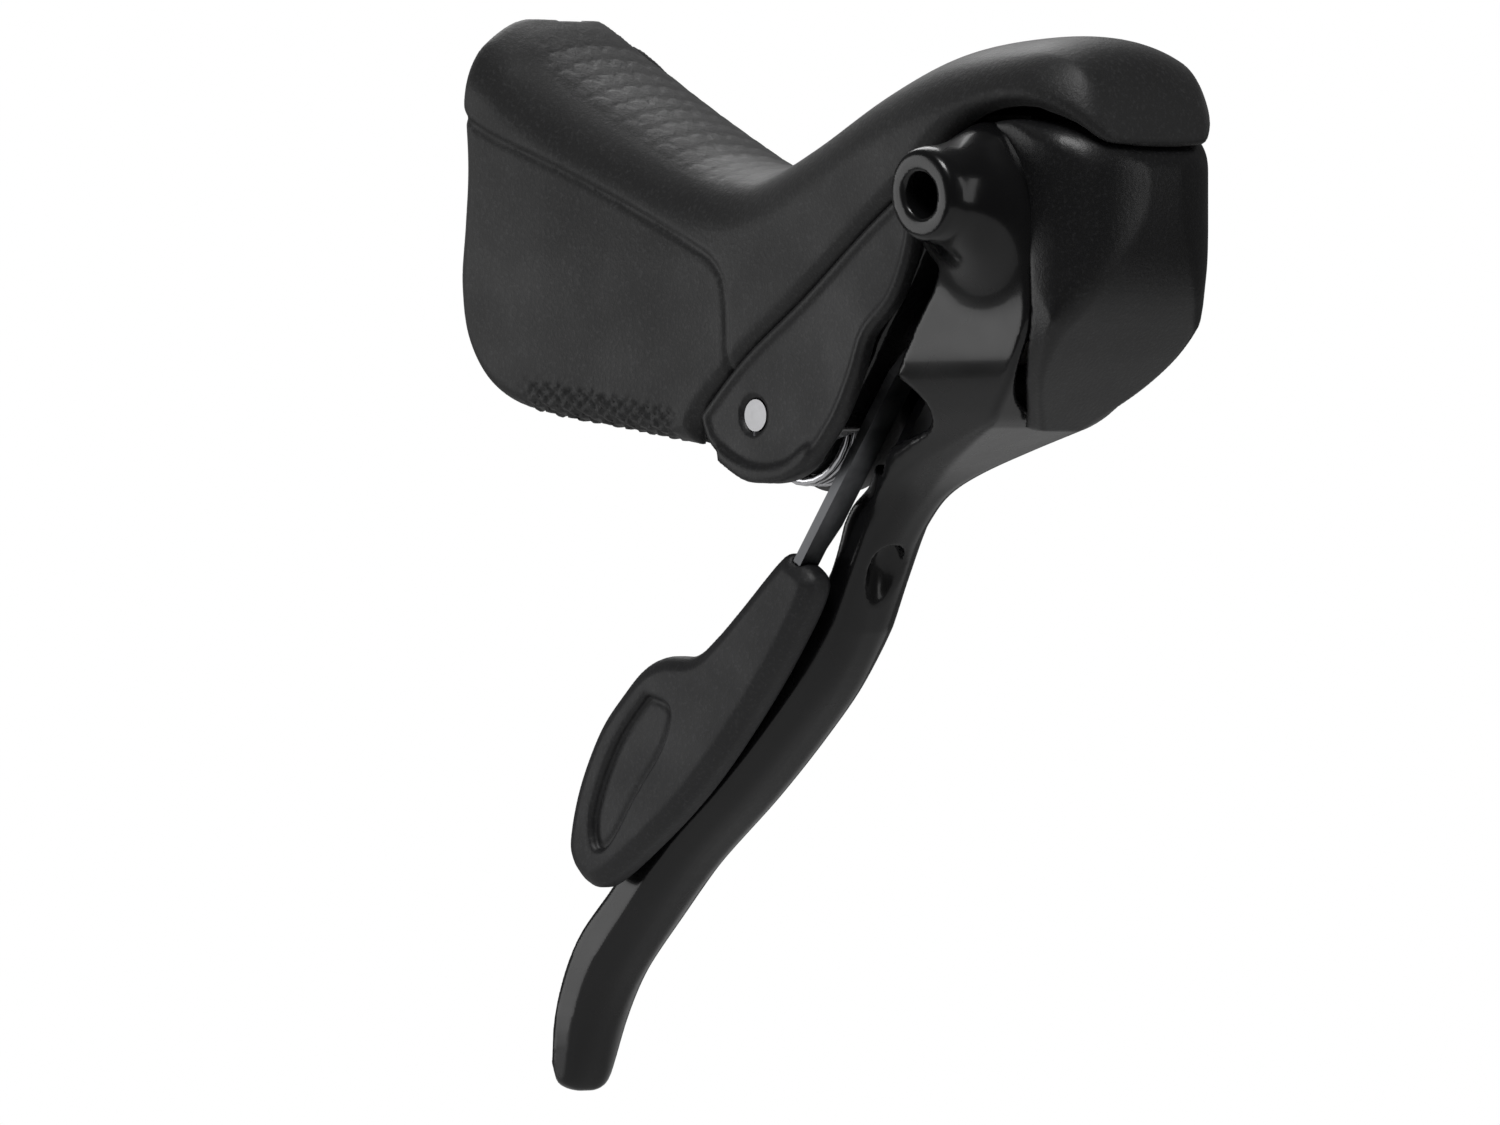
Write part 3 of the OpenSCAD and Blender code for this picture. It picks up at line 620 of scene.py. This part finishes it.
def moulded(name, dark, light, rough, grain, depth, sheen=0.0):
    """Moulded rubber or plastic: a fine speckled grain with slightly uneven gloss."""
    material, nodes, links, shader = new_material(name)
    fine = noise(nodes, links, grain, 3.0, 0.7)
    broad = noise(nodes, links, grain * 0.04, 3.0)
    links.new(tint(nodes, links, fine, dark, light, 0.52, 0.74), shader.inputs["Base Color"])
    links.new(spread(nodes, links, broad, rough - 0.05, rough + 0.06), shader.inputs["Roughness"])
    links.new(relief(nodes, links, fine, 0.5, depth), shader.inputs["Normal"])
    shader.inputs["Sheen Weight"].default_value = sheen
    shader.inputs["Sheen Roughness"].default_value = 0.5
    shader.inputs["Specular IOR Level"].default_value = 0.45
    return material


def painted(name, dark, light, rough):
    """Black paint with a soft gloss: a slight orange peel under a clear coat."""
    material, nodes, links, shader = new_material(name)
    peel = noise(nodes, links, 900, 2.0)
    broad = noise(nodes, links, 70, 3.0)
    links.new(tint(nodes, links, broad, dark, light), shader.inputs["Base Color"])
    links.new(spread(nodes, links, broad, rough - 0.04, rough + 0.05), shader.inputs["Roughness"])
    links.new(relief(nodes, links, peel, 0.25, 0.00002), shader.inputs["Normal"])
    shader.inputs["Specular IOR Level"].default_value = 0.28
    shader.inputs["Coat Weight"].default_value = 0.25
    shader.inputs["Coat Roughness"].default_value = 0.1
    return material


def metal(name, dark, light, rough, grain=1600):
    """Bare or oxidised metal with fine tool marks."""
    material, nodes, links, shader = new_material(name)
    fine = noise(nodes, links, grain, 4.0)
    broad = noise(nodes, links, 180, 3.0)
    links.new(tint(nodes, links, broad, dark, light), shader.inputs["Base Color"])
    links.new(spread(nodes, links, broad, rough - 0.04, rough + 0.06), shader.inputs["Roughness"])
    links.new(relief(nodes, links, fine, 0.06, 0.00002), shader.inputs["Normal"])
    shader.inputs["Metallic"].default_value = 1.0
    return material


MATERIALS = {
    "hood_rubber": moulded(
        "hood_rubber", (0.0088, 0.0088, 0.0092), (0.032, 0.032, 0.033), 0.5, 1700, 0.00014, 0.12
    ),
    "bracket": moulded("bracket", (0.010, 0.010, 0.0108), (0.030, 0.030, 0.031), 0.46, 1900, 0.0001),
    "cap_plastic": moulded(
        "cap_plastic", (0.0062, 0.0062, 0.0068), (0.020, 0.020, 0.021), 0.36, 2000, 0.00009
    ),
    "paddle_plastic": moulded(
        "paddle_plastic", (0.011, 0.011, 0.012), (0.028, 0.028, 0.030), 0.5, 1900, 0.0001
    ),
    "nylon": moulded("nylon", (0.55, 0.54, 0.50), (0.66, 0.65, 0.61), 0.45, 1500, 0.00002),
    "gloss_black": painted("gloss_black", (0.0034, 0.0034, 0.0038), (0.0056, 0.0056, 0.0060), 0.26),
    "bright_steel": metal("bright_steel", (0.26, 0.26, 0.265), (0.42, 0.42, 0.43), 0.34),
    "spring_steel": metal("spring_steel", (0.50, 0.50, 0.52), (0.66, 0.66, 0.68), 0.22),
    "dark_steel": metal("dark_steel", (0.05, 0.05, 0.055), (0.09, 0.09, 0.095), 0.4),
    "arm_steel": metal("arm_steel", (0.09, 0.092, 0.096), (0.14, 0.142, 0.148), 0.36),
    "brass": metal("brass", (0.48, 0.32, 0.12), (0.60, 0.42, 0.18), 0.3),
}


def finish_piece(obj, slot, body, *nodes):
    """Gives a piece its material and its body, and hides the CAD nodes that it stands for."""
    obj.data.materials.clear()
    obj.data.materials.append(MATERIALS[slot])
    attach(obj, body)
    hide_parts(*nodes)


finish_piece(build_hood(), "hood_rubber", "bracket", "hood")
finish_piece(build_bracket(), "bracket", "bracket", "bracket_body")
finish_piece(build_lever(), "gloss_black", "lever", "brake_lever")
finish_piece(build_cap(), "cap_plastic", "lever", "front_cap")
finish_piece(build_paddle(), "paddle_plastic", "shift_lever", "shift_paddle")
finish_piece(build_release(), "paddle_plastic", "release_lever", "release_paddle")

finish_piece(
    spring("brake_spring_coil", PIVOT_PLACE @ Matrix.Translation((0, 0, -5.6)), 9.0, 1.35, 4.2, 3.25, 2.0),
    "spring_steel", "bracket", "brake_return_spring",
)
finish_piece(
    spring("drum_spring_coil", MECH_PLACE @ Matrix.Translation((0, 0, 5.5)), 5.4, 0.9, 3.2, 3.5, 1.6),
    "spring_steel", "lever", "drum_spring",
)

for part in frame["record"]["subparts"]:
    node = frame["nodes"][part["node"]]
    if node.hide_render:
        continue
    node.data.materials.clear()
    node.data.materials.append(MATERIALS[part["material_slot"]])

# ---------------------------------------------------------------- floor, light and camera


def add_floor():
    place = (0.05, -0.01, -0.165)
    bpy.ops.mesh.primitive_circle_add(vertices=96, radius=0.32, fill_type="NGON", location=place)
    floor = bpy.context.object
    floor.name = "floor"
    material, nodes, links, shader = new_material("pale_floor")
    clouds = noise(nodes, links, 30)
    links.new(tint(nodes, links, clouds, (0.80, 0.80, 0.80), (0.84, 0.84, 0.84)), shader.inputs["Base Color"])
    shader.inputs["Roughness"].default_value = 0.6
    floor.data.materials.append(material)


def add_light(name, place, target, size, power):
    data = bpy.data.lights.new(name, "AREA")
    data.shape = "RECTANGLE"
    data.size, data.size_y = size
    data.energy = power
    lamp = bpy.data.objects.new(name, data)
    lamp.location = place
    lamp.rotation_euler = (Vector(target) - Vector(place)).to_track_quat("-Z", "Y").to_euler()
    bpy.context.scene.collection.objects.link(lamp)


def add_world():
    """White to the camera, and a weak even light to everything else."""
    world = bpy.data.worlds.new("studio")
    world.use_nodes = True
    nodes, links = world.node_tree.nodes, world.node_tree.links
    path = nodes.new("ShaderNodeLightPath")
    seen = nodes["Background"]
    seen.inputs["Color"].default_value = (1, 1, 1, 1)
    seen.inputs["Strength"].default_value = 1.0
    around = nodes.new("ShaderNodeBackground")
    around.inputs["Color"].default_value = (1, 1, 1, 1)
    around.inputs["Strength"].default_value = 0.09
    mix = nodes.new("ShaderNodeMixShader")
    links.new(path.outputs["Is Camera Ray"], mix.inputs["Fac"])
    links.new(around.outputs["Background"], mix.inputs[1])
    links.new(seen.outputs["Background"], mix.inputs[2])
    links.new(mix.outputs["Shader"], nodes["World Output"].inputs["Surface"])
    bpy.context.scene.world = world


def add_camera():
    """A long lens, level with the lever, 48 degrees round from its inner side towards its front."""
    azimuth = math.radians(48)
    target = Vector((0.0508, -0.0102, -0.0468))
    distance = 2.0
    data = bpy.data.cameras.new("camera")
    data.lens = 350
    data.clip_end = 20
    camera = bpy.data.objects.new("camera", data)
    camera.location = target + distance * Vector((math.sin(azimuth), -math.cos(azimuth), 0))
    camera.rotation_euler = (target - camera.location).to_track_quat("-Z", "Y").to_euler()
    bpy.context.scene.collection.objects.link(camera)
    bpy.context.scene.camera = camera


add_floor()
add_world()
add_camera()
CENTRE = (0.06, 0, -0.03)
add_light("key", (0.40, -0.45, 0.75), CENTRE, (0.3, 0.35), 5.0)
add_light("side", (0.95, 0.35, 0.15), CENTRE, (0.2, 0.8), 0.9)
add_light("back", (-0.55, 0.35, 0.65), CENTRE, (0.5, 0.5), 2.6)
add_light("left", (-0.72, -0.66, -0.02), CENTRE, (0.45, 0.5), 1.5)
bpy.context.scene.view_settings.view_transform = "Standard"
